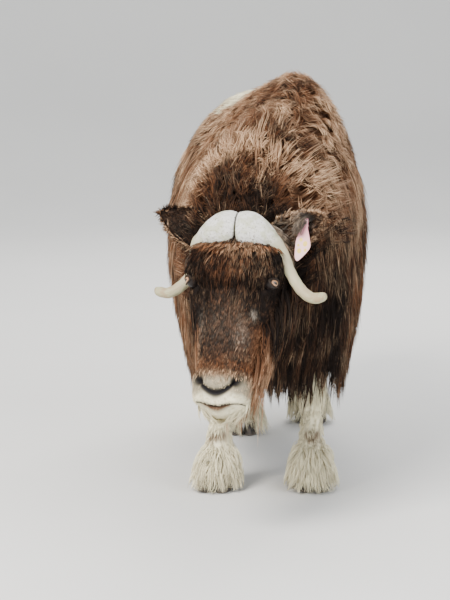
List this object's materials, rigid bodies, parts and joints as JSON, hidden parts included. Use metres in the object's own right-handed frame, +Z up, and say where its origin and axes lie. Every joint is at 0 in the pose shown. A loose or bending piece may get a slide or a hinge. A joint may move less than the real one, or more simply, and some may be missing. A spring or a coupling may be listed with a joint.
{
  "type": "muskox",
  "caption": "Standing muskox with a long overlapping coat, shoulder hump, lowered turned head, downcurved horns meeting in a boss, and a tag in one ear.",
  "frame": {"origin": "middle of the floor under the whole animal", "axes": "the animal faces -Y, its left side is +X, +Z is up"},
  "size_m": [0.6766, 1.9782, 1.2556],
  "materials": {
    "long_coat": "coarse hair, matt",
    "mane": "woolly hair, matt",
    "face": "short fur, matt",
    "horn": "horn, dull polish",
    "eye": "wet gloss",
    "ear": "short fur, matt",
    "tag": "moulded, satin",
    "leg_hair": "dense short hair, matt",
    "hoof": "horn, dull"
  },
  "bodies": {
    "root": {"torso": "long_coat", "neck": "mane", "head": "face", "horn_left": "horn", "horn_right": "horn", "eye_left": "eye", "eye_right": "eye", "ear_left": "ear", "ear_right": "ear", "ear_tag": "tag", "tail": "long_coat", "leg_front_left": "leg_hair", "hoof_front_left_left": "hoof", "hoof_front_left_right": "hoof", "leg_front_right": "leg_hair", "hoof_front_right_left": "hoof", "hoof_front_right_right": "hoof", "leg_hind_left": "leg_hair", "hoof_hind_left_left": "hoof", "hoof_hind_left_right": "hoof", "leg_hind_right": "leg_hair", "hoof_hind_right_left": "hoof", "hoof_hind_right_right": "hoof"}
  },
  "joints": []
}
